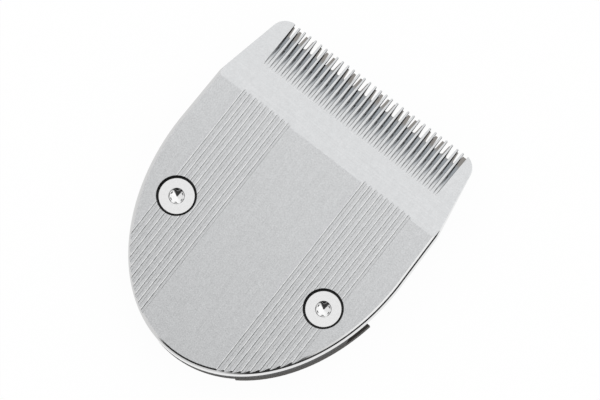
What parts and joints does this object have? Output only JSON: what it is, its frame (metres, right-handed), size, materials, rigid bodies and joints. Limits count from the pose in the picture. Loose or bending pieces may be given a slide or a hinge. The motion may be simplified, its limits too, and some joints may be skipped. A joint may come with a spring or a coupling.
{
  "type": "hair clipper blade",
  "caption": "Shield-shaped hair clipper blade set: a ground steel comb plate with ribbed bands over a sliding toothed cutter, screwed to a moulded clip-on carrier.",
  "frame": {"origin": "centre of the drive slot, midway between the two screw axes, on the carrier's back face", "axes": "+Y towards the teeth, +X along the tooth row, +Z out of the comb face"},
  "size_m": [0.0402, 0.0487, 0.0078],
  "materials": {
    "comb_steel": "satin, ground along its length",
    "cutter_steel": "ground",
    "fork_plastic": "moulded, natural white",
    "carrier_plastic": "fine moulded texture, dark grey-brown",
    "spring_steel": "drawn wire",
    "screw_steel": "bright plated"
  },
  "bodies": {
    "base": {"comb_plate": "comb_steel", "blade_carrier": "carrier_plastic", "pressure_spring": "spring_steel", "left_screw": "screw_steel", "right_screw": "screw_steel"},
    "cutter": {"cutter_blade": "cutter_steel", "drive_fork": "fork_plastic"}
  },
  "joints": [
    {"name": "cutter_slide", "type": "slide", "parent": "base", "child": "cutter", "axis": [1, 0, 0], "range_m": [-0.00125, 0.00125]}
  ]
}
